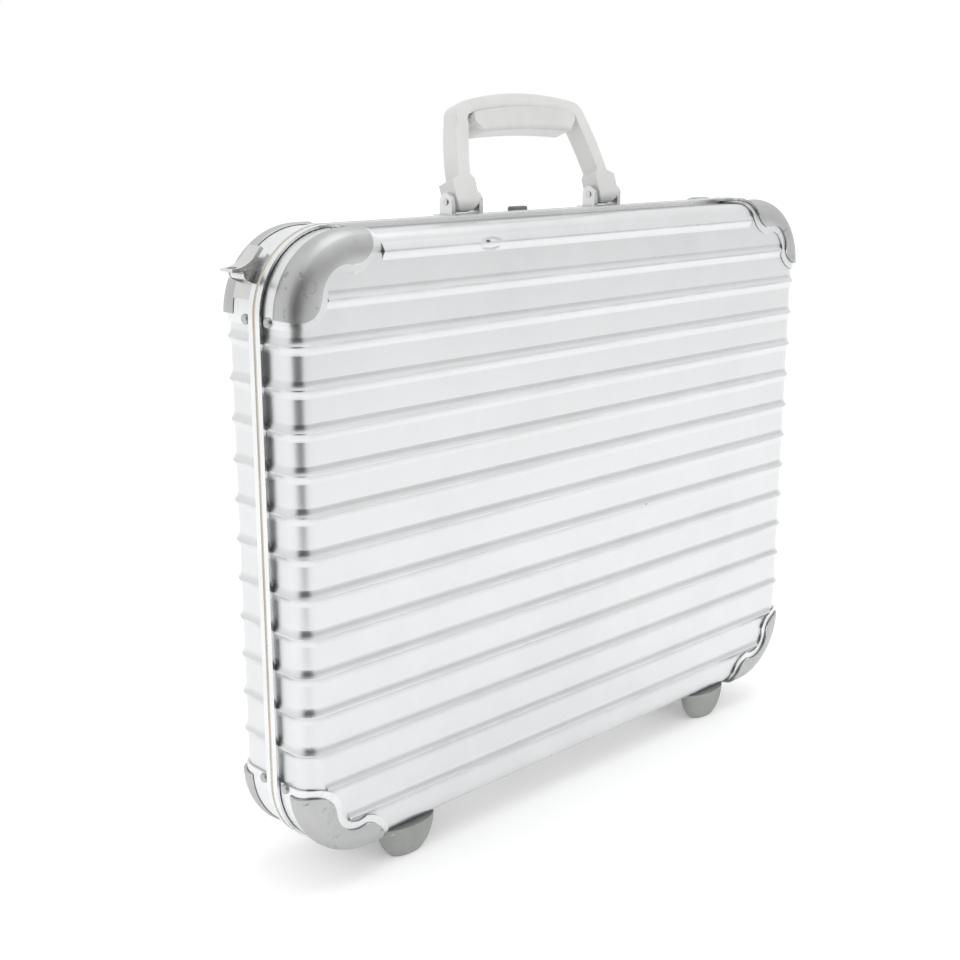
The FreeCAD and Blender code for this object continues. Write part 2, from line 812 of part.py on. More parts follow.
def bracket(side_x):
    """Handle bracket: a foot with two round-topped ears."""
    side_name = "left" if side_x == LEFT else "right"
    name = "handle_bracket_" + side_name
    y = size("pivot_y")
    z = size("pivot_z")
    floor = size("shell_top") + 1.5
    ears = []
    for tag, near, far in (("inner", 50.6, 53.6), ("outer", 73.4, 76.4)):
        low, high = sorted((side_x * near, side_x * far))
        disc_part = rod_part("%s_%s_disc" % (name, tag), 5.3, (low, y, z), (1, 0, 0), high - low)
        post = box_part("%s_%s_post" % (name, tag), low, high, y - 5.3, y + 5.3, floor, z)
        ears += [disc_part, post]
    low, high = sorted((side_x * 46.5, side_x * 80.5))
    foot_pad = box_part(name + "_foot", low, high, y - 7.2, y + 6.5, floor, floor + 1.0)
    solid = fuse(name + "_solid", ears + [foot_pad])
    low, high = sorted((side_x * 45.0, side_x * 82.0))
    bore = rod_part(name + "_bore", "Sizes.pivot_pin", (low, y, z), (1, 0, 0), high - low)
    keep(cut(name, solid, bore), name)


def pivot_pins():
    items = []
    for side_x in (LEFT, RIGHT):
        low, high = sorted((side_x * 50.0, side_x * 77.2))
        items.append(rod_part("handle_pin_%d" % side_x, "Sizes.pivot_pin",
                              (low, size("pivot_y"), size("pivot_z")), (1, 0, 0), high - low))
    keep(group("handle_pins", items), "handle_pins")


def lean():
    """Placement that leans the handle back about its pivot."""
    turn = FreeCAD.Rotation(V(1, 0, 0), -size("handle_lean"))
    return FreeCAD.Placement(V(0, size("pivot_y"), size("pivot_z")), turn)


def handle_arch():
    """Moulded arch with its two pivot blocks; drawn upright about the pivot."""
    body = new_body("handle_arch_solid")
    sketch = new_sketch(body, "outline", "XZ_Plane")
    loop(sketch, [
        arc3(-48, 60, 0, 65, 48, 60),
        arc3(48, 60, 53.6, 57.4, 57, 52),
        arc3(57, 52, 63, 33, 66.8, 14),
        line(66.8, 14, 72.6, 11.5),
        line(72.6, 11.5, 72.6, -6.5),
        line(72.6, -6.5, 54.4, -6.5),
        line(54.4, -6.5, 54.4, 11.5),
        line(54.4, 11.5, 57.4, 15),
        arc3(57.4, 15, 53.4, 32, 48.6, 47),
        arc3(48.6, 47, 47.2, 50.6, 44, 52.2),
        arc3(44, 52.2, 0, 55.9, -44, 52.2),
        arc3(-44, 52.2, -47.2, 50.6, -48.6, 47),
        arc3(-48.6, 47, -53.4, 32, -57.4, 15),
        line(-57.4, 15, -54.4, 11.5),
        line(-54.4, 11.5, -54.4, -6.5),
        line(-54.4, -6.5, -72.6, -6.5),
        line(-72.6, -6.5, -72.6, 11.5),
        line(-72.6, 11.5, -66.8, 14),
        arc3(-66.8, 14, -63, 33, -57, 52),
        arc3(-57, 52, -53.6, 57.4, -48, 60),
    ])
    pad = solid_feature(body, "Pad", "arch", sketch, "Sizes.handle_depth", middle=True)
    front = edge_in_plane("Y", -0.5 * size("handle_depth"))
    back = edge_in_plane("Y", 0.5 * size("handle_depth"))

    def long_edges(edge):
        return (front(edge) or back(edge)) and 38 < edge.Length < 100

    softened = round_edges(body, "soft_edges", pad, 1.0, long_edges)
    round_edges(body, "pivot_round", softened, 6.3, edge_in_plane("Z", -6.5))
    bore = new_sketch(body, "bore", "YZ_Plane")
    disc(bore, 0, 0, size("pivot_pin") + 0.05)
    through_pocket(body, "bore_cut", bore)
    body.Placement = lean()
    keep(body, "handle_arch")


def handle_grip():
    """Cushioned grip under the arch; drawn upright about the pivot."""
    body = new_body("handle_grip_solid")
    sketch = new_sketch(body, "outline", "XZ_Plane")
    loop(sketch, [
        arc3(-42.6, 52.4, 0, 55.8, 42.6, 52.4),
        arc3(42.6, 52.4, 44.5, 49, 43, 45),
        arc3(43, 45, 41.7, 41.9, 38.3, 40.1),
        arc3(38.3, 40.1, 0, 41.7, -38.3, 40.1),
        arc3(-38.3, 40.1, -41.7, 41.9, -43, 45),
        arc3(-43, 45, -44.5, 49, -42.6, 52.4),
    ])
    pad = solid_feature(body, "Pad", "grip", sketch, 17.0, middle=True)

    def lower_edges(edge):
        box = edge.BoundBox
        return box.YLength < 0.01 and box.ZMax < 46.0

    round_edges(body, "grip_round", pad, 2.6, lower_edges)
    body.Placement = lean()
    keep(body, "handle_grip")


# ---------------------------------------------------------------- catch

def catch_button():
    """Thumb slide on the top plate with its stem."""
    top = size("shell_top") + 1.5
    body = new_body("catch_button")
    sketch = new_sketch(body, "outline", "XY_Plane", (0, 0, top + 0.1))
    loop(sketch, [
        line(-18, 15.6, -10, 15.6),
        arc3(-10, 15.6, -6.6, 19, -10, 22.4),
        line(-10, 22.4, -18, 22.4),
        arc3(-18, 22.4, -21.4, 19, -18, 15.6),
    ])
    cap = solid_feature(body, "Pad", "cap", sketch, 3.2)
    round_edges(body, "cap_round", cap, 1.2, edge_in_plane("Z", top + 3.3))
    stem = new_sketch(body, "stem_outline", "XY_Plane", (0, 0, 364.5))
    polygon(stem, [(-16, 17.2), (-12, 17.2), (-12, 20.8), (-16, 20.8)])
    solid_feature(body, "Pad", "stem", stem, top + 0.6 - 364.5)
    keep(body, "catch_button")


def catch_bar():
    """Sliding bar inside the rim, drawn unlocked, with one finger for each lid tongue."""
    travel = size("slide_travel")
    beam = box_part("catch_bar_beam", travel - 60, travel + 62, 9.5, 22.0, 361.6, 364.5)
    items = [beam]
    for i, locked in enumerate((-42.6, 45.4)):
        x = locked + travel
        items.append(box_part("catch_bar_finger_%d" % i, x, x + 5.0, 10.0, 13.0, 364.0, 369.6))
    keep(fuse("catch_bar", items), "catch_bar")


def catch_housing():
    """Channel that carries the bar, held up under the rim."""
    roof = size("shell_top") - size("sheet")
    items = [
        box_part("catch_housing_floor", -74, 74, 7.4, 24.2, 360.0, 361.5),
        box_part("catch_housing_back", -74, 74, 22.8, 24.2, 360.0, 371.6),
        box_part("catch_housing_left", -74, -72.4, 7.4, 24.2, 360.0, roof),
        box_part("catch_housing_right", 72.4, 74, 7.4, 24.2, 360.0, roof),
        box_part("catch_housing_lip", -74, 74, 7.4, 8.6, 360.0, 363.5),
    ]
    keep(fuse("catch_housing", items), "catch_housing")


def lid_tongues():
    """Hooked tongues fixed under the lid frame that the catch fingers hold."""
    under = size("shell_top") - size("frame_in")
    items = []
    for i, x in enumerate((-50.0, 38.0)):
        tongue = box_part("tongue_%d" % i, x, x + 10.0, -5.0, 16.0, under - 4.0, under)
        notch = box_part("notch_%d" % i, x + 7.0, x + 12.0, 9.4, 13.6, under - 5.0, under + 1.0)
        relief = box_part("relief_%d" % i, x - 1.0, x + 11.0, -1.1, 20.0, under - 1.0, under + 1.0)
        items.append(cut("lid_tongue_%d" % i, tongue, fuse("tongue_gap_%d" % i, [notch, relief])))
    keep(group("lid_tongues", items), "lid_tongues")


# ---------------------------------------------------------------- lid stays

def stay_mounts(side):
    """Small plates on the liner walls that carry the stay links."""
    name = half_name(side) + "_stay_mounts"
    wall = size("shell_half_width") - size("lining_gap") - size("lining_thick")
    y = side * size("stay_inset")
    z = stay_height()
    items = []
    for side_x in (LEFT, RIGHT):
        reach = 3.0 if side == BASE else 5.1
        tail = 5.1 if side == BASE else 7.4
        plate = box_part("%s_pad_%d" % (name, side_x), -1.4, 1.4, y - 6, y + 6, z - 9, z + 9)
        plate.Placement.Base = V(min(side_x * wall, side_x * (wall - 2.8)), y - 6, z - 9)
        boss = rod_part("%s_boss_%d" % (name, side_x), 4.5, (side_x * wall, y, z),
                        (-side_x, 0, 0), reach)
        stud = rod_part("%s_stud_%d" % (name, side_x), 1.5, (side_x * wall, y, z),
                        (-side_x, 0, 0), tail + 0.4)
        head = rod_part("%s_head_%d" % (name, side_x), 3.0, (side_x * (wall - tail), y, z),
                        (-side_x, 0, 0), 0.9)
        items.append(fuse("%s_%d" % (name, side_x), [plate, boss, stud, head]))
    keep(group(name, items), name)


def stay_height():
    """Height of the stay mounts so that both links are equal."""
    reach = size("stay_link")
    inset = size("stay_inset")
    return size("hinge_z") + math.sqrt(reach * reach - inset * inset)


def stay_link(side, side_x):
    """One of the two equal links of a folding lid stay."""
    side_name = "left" if side_x == LEFT else "right"
    name = "%s_stay_%s" % (half_name(side), side_name)
    wall = size("shell_half_width") - size("lining_gap") - size("lining_thick")
    near = 3.1 if side == BASE else 5.2
    y = side * size("stay_inset")
    z = stay_height()
    top = 2 * z - size("hinge_z")
    x = side_x * (wall - near)
    into = (-side_x, 0, 0)
    body = new_body(name + "_bar")
    sketch = new_sketch(body, "outline", "YZ_Plane", (0, 0, x))
    angle = math.atan2(top - z, -y)
    dy = 5.0 * math.sin(angle)
    dz = -5.0 * math.cos(angle)
    ay = 5.0 * math.cos(angle)
    az = 5.0 * math.sin(angle)
    loop(sketch, [
        line(y + dy, z + dz, dy, top + dz),
        arc3(dy, top + dz, ay, top + az, -dy, top - dz),
        line(-dy, top - dz, y - dy, z - dz),
        arc3(y - dy, z - dz, y - ay, z - az, y + dy, z + dz),
    ])
    disc(sketch, y, z, 1.55)
    if side == LID:
        disc(sketch, 0, top, 1.55)
    solid_feature(body, "Pad", "bar", sketch, 1.9, reverse=(side_x == RIGHT))
    if side == BASE:
        stud = rod_part(name + "_stud", 1.5, (x - side_x * 1.0, 0, top), into, 3.4)
        head = rod_part(name + "_head", 3.0, (x - side_x * 4.2, 0, top), into, 0.9)
        keep(fuse(name, [body, stud, head]), name)
    else:
        keep(body, name)


# ---------------------------------------------------------------- strap loops

def strap_mount(side_x):
    """Curved foot on the corner plate with two ears for a strap loop."""
    side_name = "left" if side_x == LEFT else "right"
    name = "strap_mount_" + side_name
    cx = corner_x(side_x)
    cz = corner_z(UPPER)
    x = side_x * size("loop_x")
    y = size("loop_y")
    z = size("loop_z")
    under = size("shell_corner") + 1.8
    items = []
    for tag, low in (("front", y - 7.4), ("back", y + 5.8)):
        ear = rod_part("%s_%s_ear" % (name, tag), 3.2, (x, low, z), (0, 1, 0), 1.6)
        web = box_part("%s_%s_web" % (name, tag), 0, 8.0, 0, 1.6, 0, 6.4)
        angle = math.degrees(math.atan2(z - cz, abs(x - cx)))
        turn = FreeCAD.Rotation(V(0, 1, 0), angle if side_x == LEFT else 180 - angle)
        web.Placement = FreeCAD.Placement(V(x, low, z), turn).multiply(
            FreeCAD.Placement(V(0, 0, -3.2), FreeCAD.Rotation()))
        items += [ear, web]
    pad = rod_part(name + "_pad", under + 1.2, (cx, y - 7.4, cz), (0, 1, 0), 14.8)
    near, far = sorted((cx + side_x * 34.0, cx + side_x * 50.0))
    window = box_part(name + "_window", near, far, y - 9.0, y + 9.0, cz + 10.0, cz + 31.0)
    items.append(common(name + "_pad_piece", pad, window))
    solid = fuse(name + "_solid", items)
    keep_out = rod_part(name + "_corner", under, (cx, 0, cz), (0, 1, 0), 40.0)
    trimmed = cut(name + "_trimmed", solid, keep_out)
    bore = rod_part(name + "_bore", 1.2, (x, y - 13, z), (0, 1, 0), 26)
    keep(cut(name, trimmed, bore), name)


def strap_pins():
    items = []
    for side_x in (LEFT, RIGHT):
        items.append(rod_part("strap_pin_%d" % side_x, 1.2,
                              (side_x * size("loop_x"), size("loop_y") - 7.8, size("loop_z")),
                              (0, 1, 0), 15.6))
    keep(group("strap_pins", items), "strap_pins")


def strap_loop(side_x):
    """Bent flat strap loop with a rolled eye about its pin."""
    side_name = "left" if side_x == LEFT else "right"
    name = "strap_loop_" + side_name
    x = side_x * size("loop_x")
    y = size("loop_y")
    z = size("loop_z")
    wide = 11.0
    body = new_body(name + "_bar")
    sketch = new_sketch(body, "section", "XZ_Plane", (0, 0, -y))

    def q(dx, dz):
        return x + side_x * dx, z + dz

    loop(sketch, [
        arc3(*q(9.0, 3.4), *q(1.4, 4.4), *q(-5.4, 9.4)),
        line(*q(-5.4, 9.4), *q(-9.4, 14.2)),
        line(*q(-9.4, 14.2), *q(-11.2, 12.8)),
        line(*q(-11.2, 12.8), *q(-7.0, 7.8)),
        arc3(*q(-7.0, 7.8), *q(0.4, 2.5), *q(9.0, 1.6)),
        line(*q(9.0, 1.6), *q(9.0, 3.4)),
    ])
    solid_feature(body, "Pad", "bar", sketch, wide, middle=True)
    eye = new_sketch(body, "eye", "XY_Plane")
    mid = x + side_x * 5.7
    loop(eye, [
        line(mid - 0.9, y - 3.2, mid + 0.9, y - 3.2),
        arc3(mid + 0.9, y - 3.2, mid + 2.4, y, mid + 0.9, y + 3.2),
        line(mid + 0.9, y + 3.2, mid - 0.9, y + 3.2),
        arc3(mid - 0.9, y + 3.2, mid - 2.4, y, mid - 0.9, y - 3.2),
    ])
    through_pocket(body, "eye_cut", eye)
    roll = rod_part(name + "_roll", 3.0, (x, y - 0.5 * wide, z), (0, 1, 0), wide)
    solid = fuse(name + "_solid", [body, roll])
    bore = rod_part(name + "_bore", 1.25, (x, y - 10, z), (0, 1, 0), 20)
    keep(cut(name, solid, bore), name)


def document_pocket():
    """Soft pleated pocket on the lid lining."""
    body = new_body("document_pocket")
    floor = size("lid_depth") - size("sheet") - size("lining_thick")
    sketch = new_sketch(body, "outline", "XZ_Plane", (0, 0, floor - 6.0))
    polygon(sketch, [(-185, 70), (185, 70), (185, 250), (60, 262), (-60, 262), (-185, 250)])
    pad = solid_feature(body, "Pad", "pocket", sketch, 6.0)
    round_edges(body, "pocket_round", pad, 3.0, edge_in_plane("Y", 6.0 - floor))
    keep(body, "document_pocket")


# ---------------------------------------------------------------- assembly

def build():
    for side in (LID, BASE):
        shell(side)
        edge_frame(side)
        lining(side)
        for side_z in (UPPER, LOWER):
            for side_x in (LEFT, RIGHT):
                guard_plate(side, side_x, side_z)
                guard_cap(side, side_x, side_z)
        guard_rivets(side)
        foot(side, LEFT)
        foot(side, RIGHT)
        foot_rivets(side)
        hinge_leaf(side)
        leaf_rivet_row(side)
        stay_mounts(side)
        stay_link(side, LEFT)
        stay_link(side, RIGHT)
    seal()
    hinge_pin()
    base_plate()
    bracket(LEFT)
    bracket(RIGHT)
    pivot_pins()
    handle_arch()
    handle_grip()
    catch_button()
    catch_bar()
    catch_housing()
    lid_tongues()
    strap_mount(LEFT)
    strap_mount(RIGHT)
    strap_pins()
    strap_loop(LEFT)
    strap_loop(RIGHT)
    document_pocket()


def check_and_write():
    """Stop on any failed feature or bad shape, then write one STEP file per node."""
    doc.recompute()
    problems = []
    for obj in doc.Objects:
        if "Invalid" in obj.State or "Error" in obj.State:
            problems.append("%s %s" % (obj.Label, obj.State))
    for obj in parts:
        if obj.Shape.isNull() or not obj.Shape.isValid():
            problems.append(obj.Label + " has no valid shape")
    if problems:
        raise RuntimeError("; ".join(problems))
    os.makedirs("parts", exist_ok=True)
    for obj in parts:
        obj.Shape.exportStep("parts/%s.step" % obj.Label)
        box = obj.Shape.BoundBox
        print("%-26s solids %d volume %9.1f  x %.1f %.1f  y %.1f %.1f  z %.1f %.1f" % (
            obj.Label, len(obj.Shape.Solids), obj.Shape.Volume,
            box.XMin, box.XMax, box.YMin, box.YMax, box.ZMin, box.ZMax))
    print("nodes", len(parts))


build()
check_and_write()
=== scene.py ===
import logging
import math
from dataclasses import dataclass, field
from enum import Enum
from typing import Any, Iterable, Optional, Union

import bmesh
import bpy
from mathutils import Matrix, Vector, noise


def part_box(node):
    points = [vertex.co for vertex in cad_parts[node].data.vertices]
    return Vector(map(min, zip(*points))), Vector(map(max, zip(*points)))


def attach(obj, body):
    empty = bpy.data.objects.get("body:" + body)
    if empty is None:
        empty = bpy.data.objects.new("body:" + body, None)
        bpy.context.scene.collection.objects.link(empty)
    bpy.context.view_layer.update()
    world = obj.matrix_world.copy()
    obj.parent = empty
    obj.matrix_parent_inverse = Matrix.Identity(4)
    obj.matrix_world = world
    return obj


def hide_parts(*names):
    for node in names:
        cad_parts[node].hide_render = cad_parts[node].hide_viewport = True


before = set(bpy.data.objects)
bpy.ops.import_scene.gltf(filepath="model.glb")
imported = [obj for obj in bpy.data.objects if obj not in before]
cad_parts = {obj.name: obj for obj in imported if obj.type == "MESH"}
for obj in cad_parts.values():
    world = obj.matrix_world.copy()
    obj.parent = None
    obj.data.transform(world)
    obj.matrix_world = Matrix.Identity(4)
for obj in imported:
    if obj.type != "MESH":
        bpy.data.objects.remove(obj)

log = logging.getLogger("attache_case")

Number = Union[int, float]
Operand = Union["Wire", Number]
Colour = tuple[float, float, float]
Triple = tuple[float, float, float]

# Middles of the rounded corners: either side of the case, and above and below its middle height.
CORNER_X = 0.1816
CORNER_MIDDLE = 0.197
CORNER_RISE = 0.1325
CORNER_ARC = 0.044

# Crest of the highest rib, and the spacing of the ribs below it.
RIB_TOP = 0.3631
RIB_PITCH = 0.0228

# Outside skin of the sheet, where dents and nicks lie.
FACE_Y = -0.031
SIDE_X = -0.213
SIDE_Y = -0.023

# Points closer than this are one point.
TOUCHING = 1e-9


class Body(str, Enum):
    """The moving bodies that new pieces ride on."""

    CASE = "case"
    LID = "lid"


class Slot(str, Enum):
    """Material slot of the record; no piece here takes it."""

    FABRIC = "fabric"


class Wire:
    """One shader value that can take part in sums."""

    def __init__(self, paint: "Paint", socket: bpy.types.NodeSocket) -> None:
        """Hold the socket and the material it belongs to."""
        self.paint = paint
        self.socket = socket

    def __add__(self, other: Operand) -> "Wire":
        """Sum."""
        return self.paint.math("ADD", self, other)

    def __radd__(self, other: Number) -> "Wire":
        """Sum with the number first."""
        return self.paint.math("ADD", other, self)

    def __sub__(self, other: Operand) -> "Wire":
        """Difference."""
        return self.paint.math("SUBTRACT", self, other)

    def __rsub__(self, other: Number) -> "Wire":
        """Difference from a number."""
        return self.paint.math("SUBTRACT", other, self)

    def __mul__(self, other: Operand) -> "Wire":
        """Product."""
        return self.paint.math("MULTIPLY", self, other)

    def __rmul__(self, other: Number) -> "Wire":
        """Product with the number first."""
        return self.paint.math("MULTIPLY", other, self)

    def __pow__(self, other: Operand) -> "Wire":
        """Power."""
        return self.paint.math("POWER", self, other)

    def __abs__(self) -> "Wire":
        """Size without its sign."""
        return self.paint.math("ABSOLUTE", self)


class Paint:
    """A material being mixed: its nodes, and the sums between them."""

    def __init__(self, name: str) -> None:
        """Start an empty material.

        Args:
            name: the finish's name.
        """
        self.material = bpy.data.materials.new(name)
        self.material.use_nodes = True
        self.tree = self.material.node_tree
        self.tree.nodes.clear()
        self.place = self.node("ShaderNodeTexCoord").outputs["Object"]
        split = self.node("ShaderNodeSeparateXYZ", inputs={"Vector": Wire(self, self.place)})
        self.x, self.y, self.z = (Wire(self, out) for out in split.outputs)

    def node(
        self,
        kind: str,
        settings: Optional[dict[str, Any]] = None,
        inputs: Optional[dict[Union[str, int], Any]] = None,
    ) -> bpy.types.Node:
        """Make one node.

        Args:
            kind: the node's type.
            settings: its own properties, set first.
            inputs: values or wires by socket name, identifier or number.

        Returns:
            The node.
        """
        made = self.tree.nodes.new(kind)
        for key, value in (settings or {}).items():
            setattr(made, key, value)
        for key, value in (inputs or {}).items():
            if isinstance(key, int):
                socket = made.inputs[key]
            else:
                socket = next(s for s in made.inputs if key in (s.identifier, s.name))
            if isinstance(value, Wire):
                self.tree.links.new(value.socket, socket)
            else:
                socket.default_value = value
        return made

    def math(self, operation: str, *values: Operand) -> Wire:
        """One sum.

        Args:
            operation: the Math node's operation.
            values: wires or numbers in order.

        Returns:
            The result.
        """
        made = self.node("ShaderNodeMath", {"operation": operation}, dict(enumerate(values)))
        return Wire(self, made.outputs[0])

    def step(self, value: Wire, low: float, high: float) -> Wire:
        """A soft step of value.

        Args:
            value: what is measured.
            low: where the step starts, at 0; it may be above high.
            high: where the step ends, at 1.

        Returns:
            The step.
        """
        settings = {"interpolation_type": "SMOOTHSTEP"}
        inputs = {"Value": value, "From Min": low, "From Max": high}
        if low > high:
            inputs.update({"From Min": high, "From Max": low, "To Min": 1.0, "To Max": 0.0})
        made = self.node("ShaderNodeMapRange", settings, inputs)
        return Wire(self, made.outputs["Result"])

    def stretched(self, scale: Triple, turn: Vector = Vector()) -> Wire:
        """Object coordinates stretched and turned.

        Args:
            scale: factor along each axis.
            turn: rotation in radians.

        Returns:
            The vector.
        """
        made = self.node(
            "ShaderNodeMapping",
            None,
            {"Vector": Wire(self, self.place), "Scale": scale, "Rotation": turn},
        )
        return Wire(self, made.outputs["Vector"])

    def cloud(
        self,
        scale: float,
        detail: float = 3.0,
        rough: float = 0.55,
        vector: Optional[Wire] = None,
        twist: float = 0.0,
    ) -> Wire:
        """Fractal noise on the object.

        Args:
            scale: lumps in a metre.
            detail: octaves.
            rough: strength of the fine octaves.
            vector: coordinates, the object's own if left out.
            twist: distortion.

        Returns:
            A value near 0.5.
        """
        made = self.node(
            "ShaderNodeTexNoise",
            None,
            {
                "Vector": vector or Wire(self, self.place),
                "Scale": scale,
                "Detail": detail,
                "Roughness": rough,
                "Distortion": twist,
            },
        )
        return Wire(self, made.outputs["Fac"])

    def cells(self, scale: float) -> Wire:
        """Distance to the nearest middle in a cell pattern.

        Args:
            scale: cells in a metre.

        Returns:
            The distance.
        """
        inputs = {"Vector": Wire(self, self.place), "Scale": scale}
        made = self.node("ShaderNodeTexVoronoi", {"feature": "F1"}, inputs)
        return Wire(self, made.outputs["Distance"])

    def spot(self, centre: Triple, size: Triple) -> Wire:
        """A soft spot on the object.

        Args:
            centre: its middle.
            size: half extent along each axis.

        Returns:
            1 in the middle, 0 outside.
        """
        parts = [
            ((axis - middle) * (1.0 / half)) ** 2.0
            for axis, middle, half in zip((self.x, self.y, self.z), centre, size)
        ]
        return self.step(parts[0] + parts[1] + parts[2], 1.0, 0.25)

    def mix(self, below: Any, above: Any, amount: Operand) -> Wire:
        """Lay one colour over another.

        Args:
            below: colour or wire.
            above: colour or wire.
            amount: how much of the second.

        Returns:
            The mixed colour.
        """
        def ready(colour: Any) -> Any:
            """A colour with its fourth number."""
            return colour if isinstance(colour, Wire) else (*colour, 1.0)

        made = self.node(
            "ShaderNodeMix",
            {"data_type": "RGBA", "blend_type": "MIX"},
            {"Factor_Float": amount, "A_Color": ready(below), "B_Color": ready(above)},
        )
        return Wire(self, next(out for out in made.outputs if out.identifier == "Result_Color"))

    def bump(self, height: Wire, depth: float, normal: Optional[Wire] = None) -> Wire:
        """Small relief.

        Args:
            height: the relief, 0 to 1.
            depth: its height in metres.
            normal: a relief below this one.

        Returns:
            The normal.
        """
        inputs: dict[Union[str, int], Any] = {"Height": height, "Distance": depth, "Strength": 1.0}
        if normal is not None:
            inputs["Normal"] = normal
        return Wire(self, self.node("ShaderNodeBump", None, inputs).outputs["Normal"])

    def close(self, **surface: Any) -> bpy.types.Material:
        """End the material with its surface.

        Args:
            surface: Principled sockets by name, with _ for a space.

        Returns:
            The material.
        """
        inputs = {key.replace("_", " "): value for key, value in surface.items()}
        for key, value in inputs.items():
            if isinstance(value, tuple) and len(value) == 3:
                inputs[key] = (*value, 1.0)
        principled = self.node("ShaderNodeBsdfPrincipled", None, inputs)
        output = self.node("ShaderNodeOutputMaterial")
        self.tree.links.new(principled.outputs["BSDF"], output.inputs["Surface"])
        return self.material


Layers = tuple[Wire, Wire, Wire]


@dataclass(frozen=True)
class Knock:
    """A small mark on the sheet: its middle, and its half extent along each axis."""

    centre: Triple
    size: Triple


@dataclass(frozen=True)
class Metal:
    """A metal surface with grain, smudges, fine scratches and handling wear."""

    name: str
    light: Colour
    dark: Colour
    smooth: float = 0.25
    dull: float = 0.42
    metallic: float = 1.0
    grain: float = 2600.0
    grain_depth: float = 0.000012
    brush: Triple = (1.0, 1.0, 1.0)
    scratches: float = 0.35

    def scratch_lines(self, paint: Paint) -> Wire:
        """Sparse fine scratches in three directions.

        Args:
            paint: the material being mixed.

        Returns:
            1 on a scratch.
        """
        found: Optional[Wire] = None
        for number, turn in enumerate((0.35, 1.2, -0.8)):
            spread = paint.stretched((9.0, 9.0, 420.0), Vector((0.2 * number, turn, 0.3)))
            line = paint.step(paint.cloud(1.0 + 0.3 * number, 1.0, 0.4, spread), 0.735, 0.77)
            found = line if found is None else paint.math("MAXIMUM", found, line)
        return found * paint.step(paint.cloud(14.0, 2.0), 0.48, 0.6)

    def wear(self, paint: Paint, colour: Wire, rough: Wire, normal: Wire) -> Layers:
        """Add marks of this piece's own; a plain piece has none.

        Args:
            paint: the material being mixed.
            colour: colour so far.
            rough: roughness so far.
            normal: relief so far.

        Returns:
            Colour, roughness and normal.
        """
        return colour, rough, normal

    def paint(self) -> bpy.types.Material:
        """Mix the finish.

        Returns:
            The material.
        """
        paint = Paint(self.name)
        grain = paint.cloud(self.grain, 2.0, 0.6, paint.stretched(self.brush))
        smudge = paint.cloud(11.0, 4.0, 0.6, twist=0.6)
        patch = paint.cloud(46.0, 3.0, 0.5)
        scratch = self.scratch_lines(paint) * self.scratches
        tone = paint.step(smudge * 0.7 + patch * 0.3, 0.32, 0.68)
        colour = paint.mix(self.dark, self.light, tone * 0.75 + grain * 0.25)
        colour = paint.mix(colour, self.dark, scratch * 0.6)
        rough = self.smooth + (self.dull - self.smooth) * (patch * 0.5 + tone * 0.3 + grain * 0.3)
        rough = rough - scratch * 0.1
        normal = paint.bump(grain - scratch * 0.6, self.grain_depth)
        colour, rough, normal = self.wear(paint, colour, rough, normal)
        return paint.close(
            Base_Color=colour, Roughness=rough, Metallic=self.metallic, Normal=normal
        )


@dataclass(frozen=True)
class GroovedSheet(Metal):
    """Anodised ribbed sheet, with painted shade along the rib crests, and a few knocks."""

    # Grey laid along the rib crests: painted shade.
    crest_painted_shade: Colour = (0.50, 0.50, 0.50)
    nick_colour: Colour = (0.05, 0.05, 0.05)
    nicks: tuple[Knock, ...] = (
        Knock((-0.088, FACE_Y, 0.3640), (0.0022, 0.004, 0.0009)),
        Knock((SIDE_X, SIDE_Y, 0.2720), (0.0016, 0.004, 0.0007)),
        Knock((SIDE_X, SIDE_Y, 0.1120), (0.0018, 0.004, 0.0008)),
        Knock((0.060, FACE_Y, 0.1810), (0.0012, 0.004, 0.0004)),
    )
    dent: Knock = Knock((-0.085, FACE_Y, 0.3625), (0.010, 0.006, 0.0042))
    dent_depth: float = 0.0009

    def wear(self, paint: Paint, colour: Wire, rough: Wire, normal: Wire) -> Layers:
        """Paint shade along the crests, leave them a little smoother, and add the dents and black
        nicks.

        Args:
            paint: the material being mixed.
            colour: colour so far.
            rough: roughness so far.
            normal: relief so far.

        Returns:
            Colour, roughness and normal.
        """
        level = (paint.z - RIB_TOP) * (1.0 / RIB_PITCH)
        offset = abs(level - paint.math("ROUND", level))
        uneven = paint.cloud(60.0, 3.0, 0.6, paint.stretched((0.25, 1.0, 1.0)))
        # Painted shade: a dark line along each rib crest, broken up by noise; the crests are also
        # made a little less rough.
        painted_crest_shade = paint.step(offset, 0.05, 0.012) * paint.step(uneven, 0.36, 0.62)
        colour = paint.mix(colour, self.crest_painted_shade, painted_crest_shade * 0.45)
        rough = rough - painted_crest_shade * 0.06
        first, *others = (paint.spot(nick.centre, nick.size) for nick in self.nicks)
        nicks = first
        for other in others:
            nicks = paint.math("MAXIMUM", nicks, other)
        dent = paint.spot(self.dent.centre, self.dent.size)
        colour = paint.mix(colour, self.nick_colour, nicks * 0.85)
        normal = paint.bump(1.0 - dent, self.dent_depth, normal)
        return colour, rough + nicks * 0.3, normal


